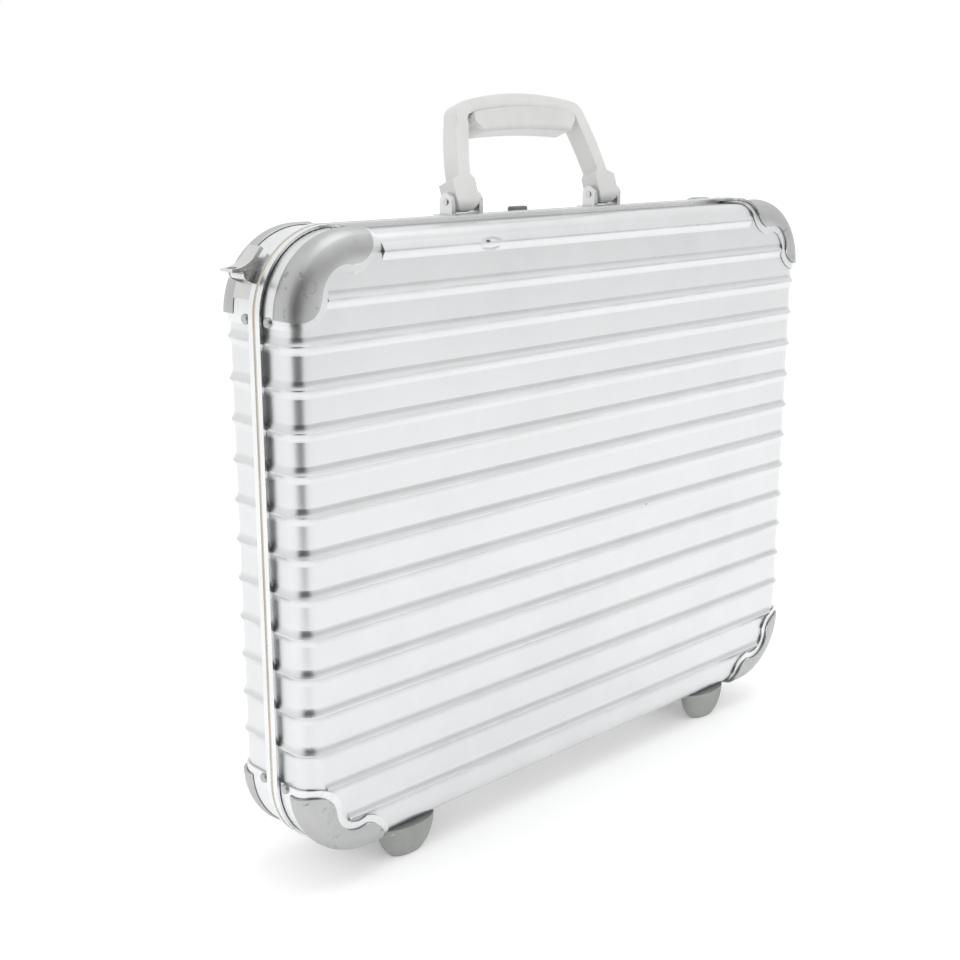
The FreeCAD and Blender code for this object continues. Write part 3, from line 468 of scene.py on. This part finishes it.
@dataclass(frozen=True)
class CornerMetal(Metal):
    """Corner metal with a painted highlight and edge wear along its rim, and rubbed patches.

    edge is the half width of the curved outline, from the middle of its arc.
    """

    edge: float = 0.0136
    rim: float = 0.0012
    patches: float = 0.0
    # Pale colour along the rim: painted highlight, partly edge wear.
    rim_highlight_and_wear: Colour = (0.86, 0.87, 0.88)
    worn: Colour = (0.30, 0.30, 0.30)

    def wear(self, paint: Paint, colour: Wire, rough: Wire, normal: Wire) -> Layers:
        """Paint a highlight with edge wear along the rim, and rub the crown.

        Args:
            paint: the material being mixed.
            colour: colour so far.
            rough: roughness so far.
            normal: relief so far.

        Returns:
            Colour, roughness and normal.
        """
        across = abs(paint.x) - CORNER_X
        up = abs(paint.z - CORNER_MIDDLE) - CORNER_RISE
        radius = (across ** 2.0 + up ** 2.0) ** 0.5
        away = abs(radius - CORNER_ARC)
        # Painted highlight with edge wear: pale where the piece nears its curved outline.
        rim = paint.step(away, self.edge - self.rim, self.edge)
        colour = paint.mix(colour, self.rim_highlight_and_wear, rim * 0.8)
        rubbed = paint.step(paint.cloud(75.0, 4.0, 0.65, twist=1.2), 0.60, 0.66)
        rubbed = rubbed * paint.step(paint.cloud(26.0, 2.0), 0.42, 0.56) * self.patches
        colour = paint.mix(colour, self.worn, rubbed * 0.7)
        normal = paint.bump(1.0 - rubbed, 0.00006, normal)
        return colour, rough + rubbed * 0.12 - rim * 0.05, normal


@dataclass(frozen=True)
class Moulding:
    """Moulded plastic or rubber with a spark-eroded grain and scuffs."""

    name: str
    light: Colour
    dark: Colour
    smooth: float = 0.38
    dull: float = 0.55
    grain: float = 1500.0
    grain_depth: float = 0.00003
    scuff: Colour = (0.72, 0.72, 0.70)
    scuffs: float = 0.3
    parting: float = 0.0
    specular: float = 0.5

    def paint(self) -> bpy.types.Material:
        """Mix the finish.

        Returns:
            The material.
        """
        paint = Paint(self.name)
        grain = paint.cells(self.grain)
        lumps = paint.cloud(self.grain * 0.4, 3.0, 0.6)
        tone = paint.step(paint.cloud(24.0, 4.0, 0.6, twist=0.4), 0.3, 0.7)
        colour = paint.mix(self.dark, self.light, tone * 0.7 + lumps * 0.3)
        spread = paint.stretched((6.0, 60.0, 160.0), Vector((0.4, 0.5, 0.2)))
        marks = paint.step(paint.cloud(3.0, 2.0, 0.5, spread), 0.63, 0.70)
        marks = marks * paint.step(paint.cloud(32.0, 2.0), 0.46, 0.6) * self.scuffs
        colour = paint.mix(colour, self.scuff, marks)
        rough = self.smooth + (self.dull - self.smooth) * (lumps * 0.6 + tone * 0.4) + marks * 0.1
        height = grain * 0.5 + lumps * 0.5
        if self.parting:
            seam = paint.step(abs(paint.x), self.parting, self.parting * 0.4)
            colour = paint.mix(colour, self.scuff, seam * 0.75)
            height = height + seam * 2.0
        normal = paint.bump(height, self.grain_depth)
        return paint.close(
            Base_Color=colour,
            Roughness=rough,
            Metallic=0.0,
            Normal=normal,
            Specular_IOR_Level=self.specular,
        )


@dataclass(frozen=True)
class Cloth:
    """Woven lining cloth with slubs and a soft sheen."""

    name: str
    light: Colour
    dark: Colour
    threads: float = 1500.0
    relief: float = 0.00012
    sheen: float = 0.35

    def paint(self) -> bpy.types.Material:
        """Mix the weave.

        Returns:
            The material.
        """
        paint = Paint(self.name)
        pitch = self.threads
        drift = paint.cloud(90.0, 2.0) * 0.9
        across = paint.math("SINE", paint.x * pitch + drift)
        depth = paint.math("SINE", (paint.z + paint.y) * pitch + drift)
        over = paint.step(across * depth, -0.4, 0.4)
        thread = over * abs(across) + (1.0 - over) * abs(depth)
        slub = paint.cloud(1.0, 2.0, 0.5, paint.stretched((40.0, 40.0, 900.0)))
        fade = paint.step(paint.cloud(9.0, 3.0, 0.6), 0.3, 0.7)
        tone = thread * 0.55 + slub * 0.3 + fade * 0.15
        colour = paint.mix(self.dark, self.light, tone)
        normal = paint.bump(thread * 0.8 + slub * 0.4, self.relief)
        return paint.close(
            Base_Color=colour,
            Roughness=0.78 + slub * 0.15,
            Normal=normal,
            Sheen_Weight=self.sheen,
            Sheen_Roughness=0.45,
            Specular_IOR_Level=0.25,
        )


@dataclass(frozen=True)
class Finishes:
    """Every finish of the case."""

    sheet: GroovedSheet = GroovedSheet(
        "anodised_grooved_sheet",
        light=(0.765, 0.775, 0.78),
        dark=(0.70, 0.71, 0.715),
        smooth=0.27,
        dull=0.40,
        grain=1900.0,
        grain_depth=0.000010,
        scratches=0.18,
    )
    frame_bar: Metal = Metal(
        "anodised_frame_bar",
        light=(0.86, 0.87, 0.87),
        dark=(0.74, 0.75, 0.75),
        smooth=0.18,
        dull=0.34,
        grain=2200.0,
        brush=(0.4, 1.0, 0.4),
        scratches=0.3,
    )
    guard: CornerMetal = CornerMetal(
        "corner_guard_sheet",
        light=(0.85, 0.86, 0.865),
        dark=(0.68, 0.69, 0.70),
        smooth=0.22,
        dull=0.36,
        edge=0.0204,
        rim=0.0010,
        patches=0.15,
        scratches=0.3,
    )
    cap: CornerMetal = CornerMetal(
        "cast_corner_cap",
        light=(0.56, 0.565, 0.56),
        dark=(0.44, 0.445, 0.445),
        smooth=0.36,
        dull=0.50,
        grain=1500.0,
        grain_depth=0.00004,
        edge=0.0160,
        rim=0.0011,
        patches=0.9,
        scratches=0.18,
    )
    steel: Metal = Metal(
        "plated_steel",
        light=(0.72, 0.72, 0.71),
        dark=(0.52, 0.53, 0.52),
        smooth=0.20,
        dull=0.38,
        grain=2400.0,
        scratches=0.4,
    )
    plate: Metal = Metal(
        "anodised_plate",
        light=(0.90, 0.905, 0.91),
        dark=(0.84, 0.845, 0.85),
        smooth=0.20,
        dull=0.32,
        grain=2200.0,
        grain_depth=0.000006,
        scratches=0.1,
    )
    bracket: Metal = Metal(
        "cast_bracket",
        light=(0.78, 0.79, 0.79),
        dark=(0.60, 0.61, 0.62),
        smooth=0.24,
        dull=0.40,
        grain=1800.0,
        scratches=0.3,
    )
    rivet: Metal = Metal(
        "rivet_metal",
        light=(0.55, 0.57, 0.55),
        dark=(0.34, 0.36, 0.35),
        smooth=0.28,
        dull=0.42,
        grain=3000.0,
        scratches=0.2,
    )
    handle: Moulding = Moulding(
        "handle_moulding",
        light=(0.70, 0.702, 0.687),
        dark=(0.61, 0.612, 0.60),
        smooth=0.36,
        dull=0.50,
        scuffs=0.35,
        parting=0.00035,
    )
    grip: Moulding = Moulding(
        "grip_moulding",
        light=(0.68, 0.685, 0.67),
        dark=(0.58, 0.585, 0.575),
        smooth=0.32,
        dull=0.46,
        scuffs=0.35,
        parting=0.00035,
    )
    foot: Moulding = Moulding(
        "foot_moulding",
        light=(0.34, 0.352, 0.332),
        dark=(0.24, 0.25, 0.24),
        smooth=0.42,
        dull=0.60,
        grain=1100.0,
        grain_depth=0.00006,
        scuffs=0.5,
        scuff=(0.60, 0.60, 0.58),
    )
    button: Moulding = Moulding(
        "button_moulding",
        light=(0.20, 0.20, 0.205),
        dark=(0.12, 0.12, 0.125),
        smooth=0.30,
        dull=0.45,
        scuffs=0.15,
        scuff=(0.3, 0.3, 0.3),
    )
    seal: Moulding = Moulding(
        "seal_rubber",
        light=(0.80, 0.76, 0.66),
        dark=(0.62, 0.57, 0.47),
        smooth=0.45,
        dull=0.65,
        grain=900.0,
        scuffs=0.35,
        scuff=(0.42, 0.39, 0.33),
    )
    lining: Cloth = Cloth("lining_cloth", light=(0.20, 0.21, 0.23), dark=(0.075, 0.08, 0.095))
    pocket: Cloth = Cloth(
        "pocket_cloth",
        light=(0.14, 0.145, 0.16),
        dark=(0.05, 0.052, 0.06),
        threads=1100.0,
        relief=0.0002,
    )


def dress(nodes: Iterable[str], material: bpy.types.Material) -> None:
    """Give CAD nodes a finish.

    Args:
        nodes: node names.
        material: their finish.
    """
    for name in nodes:
        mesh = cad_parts[name].data
        mesh.materials.clear()
        mesh.materials.append(material)
        log.info("dressed %s in %s", name, material.name)


def as_piece(
    name: str,
    mesh: bmesh.types.BMesh,
    material: bpy.types.Material,
    body: Body,
) -> bpy.types.Object:
    """Close a bmesh into a piece on its body.

    Args:
        name: the piece's name.
        mesh: its shape; freed here.
        material: its finish.
        body: the body it rides on.

    Returns:
        The object.
    """
    bmesh.ops.recalc_face_normals(mesh, faces=mesh.faces)
    data = bpy.data.meshes.new(name)
    mesh.to_mesh(data)
    mesh.free()
    data.shade_smooth()
    data.materials.append(material)
    piece = bpy.data.objects.new(name, data)
    bpy.context.scene.collection.objects.link(piece)
    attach(piece, body.value)
    log.info("built %s on %s", name, body.value)
    return piece


@dataclass
class Halves:
    """Lid and base: ribbed shells, frame bars, seam seal and corner metal."""

    finishes: Finishes
    sides: tuple[str, str] = ("lid", "base")
    corners: tuple[str, ...] = ("upper_left", "upper_right", "lower_left", "lower_right")

    def dress(self) -> None:
        """Give every piece of both halves its finish."""
        dress([f"{side}_shell" for side in self.sides], self.finishes.sheet.paint())
        dress([f"{side}_frame" for side in self.sides], self.finishes.frame_bar.paint())
        dress(self.named("guard"), self.finishes.guard.paint())
        dress(self.named("cap"), self.finishes.cap.paint())
        dress([f"{side}_rivets" for side in self.sides], self.finishes.rivet.paint())
        dress(["seam_seal"], self.finishes.seal.paint())

    def named(self, kind: str) -> list[str]:
        """Names of one kind of corner piece on both halves."""
        return [f"{side}_{kind}_{corner}" for side in self.sides for corner in self.corners]


@dataclass
class Fittings:
    """Feet, hinge, handle, catch, stays and strap loops."""

    finishes: Finishes

    def dress(self) -> None:
        """Give every fitting its finish."""
        steel = self.finishes.steel.paint()
        feet = [f"{half}_foot_{hand}" for half in ("lid", "base") for hand in ("left", "right")]
        dress(feet, self.finishes.foot.paint())
        dress(["handle_arch"], self.finishes.handle.paint())
        dress(["handle_grip"], self.finishes.grip.paint())
        bracket = self.finishes.bracket.paint()
        dress(["handle_bracket_left", "handle_bracket_right"], bracket)
        dress(["handle_plate", "catch_housing"], self.finishes.plate.paint())
        dress(["catch_button"], self.finishes.button.paint())
        dress(
            [
                "hinge_pin", "handle_pins", "catch_bar", "lid_tongues",
                "strap_pins", "strap_mount_left", "strap_mount_right",
                "strap_loop_left", "strap_loop_right",
            ],
            steel,
        )
        for half in ("lid", "base"):
            for kind in ("foot_rivets", "hinge_leaf", "hinge_rivets", "stay_mounts"):
                dress([f"{half}_{kind}"], steel)
            dress([f"{half}_stay_{hand}" for hand in ("left", "right")], steel)


@dataclass
class Lining:
    """Padded cloth tray glued inside one half.

    seam_sign is +1 where the open side faces +Y, as in the lid.
    """

    node: str
    body: Body
    seam_sign: float
    material: bpy.types.Material
    corner: float = 0.040
    fold: float = 0.009
    wall: float = 0.0011
    puff: float = 0.0012
    stitch_pitch: float = 0.074
    steps: int = 6
    wall_steps: int = 4
    columns: int = 90
    rows: int = 68
    low: Vector = field(init=False)
    high: Vector = field(init=False)

    def __post_init__(self) -> None:
        """Read the room the CAD lining takes."""
        self.low, self.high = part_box(self.node)

    def clamp(self, place: Vector) -> Vector:
        """Find the nearest point of the straight middle, round which corners turn.

        Args:
            place: the point.

        Returns:
            The nearest point.
        """
        inset = self.corner
        x = min(max(place.x, self.low.x + inset), self.high.x - inset)
        z = min(max(place.z, self.low.z + inset), self.high.z - inset)
        return Vector((x, place.y, z))

    def rounded(self, place: Vector) -> Vector:
        """Map a point of the square-cornered panel into the round-cornered one.

        Args:
            place: the point.

        Returns:
            Its new place.
        """
        middle = self.clamp(place)
        away = place - middle
        reach = away.length
        if reach < TOUCHING:
            return place
        return middle + away * (max(abs(away.x), abs(away.z)) / reach)

    def outset(self, verts: Iterable[bmesh.types.BMVert], distance: float, rise: float) -> None:
        """Move an edge loop outwards and towards the seam.

        Args:
            verts: the loop.
            distance: outward move.
            rise: move towards the seam.
        """
        for vert in verts:
            away = vert.co - self.clamp(vert.co)
            away.y = 0.0
            if away.length > TOUCHING:
                vert.co += away.normalized() * distance
            vert.co.y += self.seam_sign * rise

    def quilt(self, place: Vector) -> float:
        """Height of the padding: crowned between stitched lines and a stitched border.

        Args:
            place: point on the panel.

        Returns:
            Height above the backing.
        """
        centre = (self.low + self.high) / 2
        across = (place.x - centre.x) / self.stitch_pitch
        up = (place.z - centre.z) / self.stitch_pitch
        first = abs(math.sin(math.pi * (across + up) / 2))
        second = abs(math.sin(math.pi * (across - up) / 2))
        stitched = min(first, second)
        ripple = noise.noise(place * 55.0) * 0.25
        return self.puff * (min(1.0, (stitched * 2.2)) ** 0.6 * (1.0 + ripple))

    def build(self) -> bpy.types.Object:
        """Build the tray and put it in place of the CAD lining.

        Returns:
            The lining.
        """
        mesh = bmesh.new()
        bmesh.ops.create_grid(mesh, x_segments=self.columns, y_segments=self.rows, size=0.5)
        size = self.high - self.low
        centre = (self.low + self.high) / 2
        back = self.low.y + self.wall if self.seam_sign > 0 else self.high.y - self.wall
        inner = Vector((size.x - 2 * self.fold, size.z - 2 * self.fold, 0))
        for vert in mesh.verts:
            flat = Vector((centre.x + vert.co.x * inner.x, back, centre.z + vert.co.y * inner.y))
            vert.co = self.rounded(flat)
        rim = [edge for edge in mesh.edges if edge.is_boundary]
        total = size.y - 2 * self.wall - self.fold
        moves = []
        for step in range(1, self.steps + 1):
            angle = math.pi / 2 * step / self.steps
            moves.append((math.sin(angle) * self.fold, (1 - math.cos(angle)) * self.fold))
        for part in range(1, self.wall_steps + 1):
            moves.append((self.fold, self.fold + total * part / self.wall_steps))
        before = (0.0, 0.0)
        for distance, rise in moves:
            made = bmesh.ops.extrude_edge_only(mesh, edges=rim)
            verts = [item for item in made["geom"] if isinstance(item, bmesh.types.BMVert)]
            rim = [item for item in made["geom"] if isinstance(item, bmesh.types.BMEdge)]
            rim = [edge for edge in rim if edge.is_boundary]
            self.outset(verts, distance - before[0], rise - before[1])
            before = (distance, rise)
        for vert in mesh.verts:
            if abs(vert.co.y - back) < 1e-6:
                vert.co.y += self.seam_sign * self.quilt(vert.co)
        name = f"{self.node}_cloth"
        piece = as_piece(name, mesh, self.material, self.body)
        thick = piece.modifiers.new("cloth", "SOLIDIFY")
        thick.thickness = self.wall
        thick.offset = 0.0
        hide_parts(self.node)
        return piece


@dataclass
class Organiser:
    """Document pocket in the lid: a padded panel with stitched pockets."""

    material: bpy.types.Material
    node: str = "document_pocket"
    body: Body = Body.LID
    pockets: tuple[float, ...] = (-0.062, 0.062)
    columns: int = 120
    rows: int = 64
    margin: float = 0.0016
    cloth: float = 0.0012
    stand_off: float = 0.0018
    stitch_width: float = 0.012
    flap_edge: float = 0.62

    def build(self) -> bpy.types.Object:
        """Build the padded panel in the room the CAD pocket takes.

        Returns:
            The panel.
        """
        low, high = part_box(self.node)
        mesh = bmesh.new()
        bmesh.ops.create_grid(mesh, x_segments=self.columns, y_segments=self.rows, size=0.5)
        centre = (low + high) / 2
        size = high - low
        inset = self.margin
        for vert in mesh.verts:
            u, v = vert.co.x * 2, vert.co.y * 2
            x = centre.x + vert.co.x * (size.x - 2 * inset)
            z = centre.z + vert.co.y * (size.z - 2 * inset)
            crown = (1 - abs(u) ** 6) * (1 - abs(v) ** 6)
            seam = min(abs(x - place) for place in self.pockets)
            stitched = min(1.0, seam / self.stitch_width) ** 0.5
            stitched = max(stitched, 1.0 if v > self.flap_edge else 0.0)
            ripple = 0.5 + 0.5 * noise.noise(Vector((x * 38.0, 0.0, z * 13.0)))
            lift = crown * (0.45 + 0.4 * stitched + 0.15 * ripple)
            vert.co = Vector((x, high.y - size.y + self.stand_off + lift * (size.y - 0.0030), z))
        piece = as_piece("document_pocket_panel", mesh, self.material, self.body)
        thick = piece.modifiers.new("cloth", "SOLIDIFY")
        thick.thickness = self.cloth
        thick.offset = 0.0
        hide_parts(self.node)
        return piece


@dataclass
class Studio:
    """Pale floor, soft lights and the camera."""

    sky: float = 1.0
    floor_size: float = 14.0
    floor_glow: float = 0.18
    lens: float = 53.06
    eye: Triple = (-0.65483, -0.61088, 0.43229)
    tilt: float = 75.6
    heading: float = -44.0

    def build(self) -> None:
        """Set up the room."""
        self.world()
        self.floor()
        self.lights()
        self.camera()

    def world(self) -> None:
        """Even white surroundings."""
        scene = bpy.context.scene
        world = bpy.data.worlds.new("studio_air")
        scene.world = world
        world.use_nodes = True
        back = world.node_tree.nodes["Background"]
        back.inputs["Color"].default_value = (1.0, 1.0, 1.0, 1.0)
        back.inputs["Strength"].default_value = self.sky
        scene.view_settings.view_transform = "Standard"

    def floor(self) -> None:
        """A plain pale floor under the feet."""
        mesh = bmesh.new()
        bmesh.ops.create_grid(mesh, x_segments=1, y_segments=1, size=self.floor_size / 2)
        data = bpy.data.meshes.new("floor")
        mesh.to_mesh(data)
        mesh.free()
        paint = Paint("floor_paper")
        data.materials.append(
            paint.close(
                Base_Color=(0.95, 0.95, 0.95),
                Roughness=0.9,
                Specular_IOR_Level=0.0,
                Emission_Color=(1.0, 1.0, 1.0),
                Emission_Strength=self.floor_glow,
            )
        )
        floor = bpy.data.objects.new("floor", data)
        bpy.context.scene.collection.objects.link(floor)

    def lamp(
        self, name: str, place: Vector, aim: Vector, size: tuple[float, float], power: float,
        colour: Colour = (1.0, 1.0, 1.0),
    ) -> None:
        """One soft box.

        Args:
            name: its name.
            place: where it hangs.
            aim: what it faces.
            size: width and height.
            power: watts.
            colour: its tint.
        """
        light = bpy.data.lights.new(name, "AREA")
        light.shape = "RECTANGLE"
        light.size, light.size_y = size
        light.energy = power
        light.color = colour
        lamp = bpy.data.objects.new(name, light)
        lamp.location = place
        lamp.rotation_euler = (aim - place).to_track_quat("-Z", "Y").to_euler()
        lamp.visible_camera = False
        bpy.context.scene.collection.objects.link(lamp)

    def flag(
        self, name: str, place: Vector, aim: Vector, size: tuple[float, float], shade: float
    ) -> None:
        """A dark card that only reflections see.

        Args:
            name: its name.
            place: its middle.
            aim: what it faces.
            size: width and height.
            shade: how pale it is.
        """
        mesh = bmesh.new()
        bmesh.ops.create_grid(mesh, x_segments=1, y_segments=1, size=0.5)
        turn = (aim - place).to_track_quat("Z", "Y").to_matrix().to_4x4()
        shape = Matrix.Translation(place) @ turn @ Matrix.Diagonal((*size, 1.0, 1.0))
        bmesh.ops.transform(mesh, matrix=shape, verts=mesh.verts)
        data = bpy.data.meshes.new(name)
        mesh.to_mesh(data)
        mesh.free()
        paint = Paint(f"{name}_card")
        data.materials.append(
            paint.close(
                Base_Color=(0.0, 0.0, 0.0),
                Specular_IOR_Level=0.0,
                Emission_Color=(shade,) * 3,
                Emission_Strength=1.0,
            )
        )
        card = bpy.data.objects.new(name, data)
        card.visible_camera = False
        card.visible_diffuse = False
        card.visible_shadow = False
        bpy.context.scene.collection.objects.link(card)

    def lights(self) -> None:
        """A soft box above, a pale card in front and beside, and dark cards for the gap behind the
        camera and the table's end.
        """
        middle = Vector((0.0, 0.0, 0.2))
        self.lamp(
            "top_box", Vector((0.3, -0.2, 2.4)), middle, (1.5, 1.5), 9.0, (0.97, 0.985, 1.0)
        )
        front = Vector((1.6, -2.3, 0.8))
        self.flag("room_front", front, Vector((1.6, 0.0, 0.8)), (4.4, 1.6), 0.70)
        self.flag("camera_gap", Vector((-1.05, -1.0, 0.6)), middle, (1.6, 1.5), 0.05)
        table = Vector((-1.15, -1.1, 0.002))
        self.flag("table_end", table, Vector((-1.15, -1.1, 1.0)), (1.15, 1.15), 0.03)

    def camera(self) -> None:
        """The camera, looking at the case from its front left."""
        data = bpy.data.cameras.new("camera")
        data.lens = self.lens
        data.sensor_width = 36.0
        data.clip_start = 0.05
        data.clip_end = 60.0
        camera = bpy.data.objects.new("camera", data)
        camera.location = self.eye
        camera.rotation_euler = (math.radians(self.tilt), 0.0, math.radians(self.heading))
        bpy.context.scene.collection.objects.link(camera)
        bpy.context.scene.camera = camera


def main() -> None:
    """Dress the case, build its soft pieces and set up the studio."""
    logging.basicConfig(level=logging.INFO, format="%(message)s")
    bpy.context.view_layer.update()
    finishes = Finishes()
    Halves(finishes).dress()
    Fittings(finishes).dress()
    cloth = finishes.lining.paint()
    Lining("lid_lining", Body.LID, 1.0, cloth).build()
    Lining("base_lining", Body.CASE, -1.0, cloth).build()
    Organiser(finishes.pocket.paint()).build()
    Studio().build()


if __name__ == "__main__":
    main()
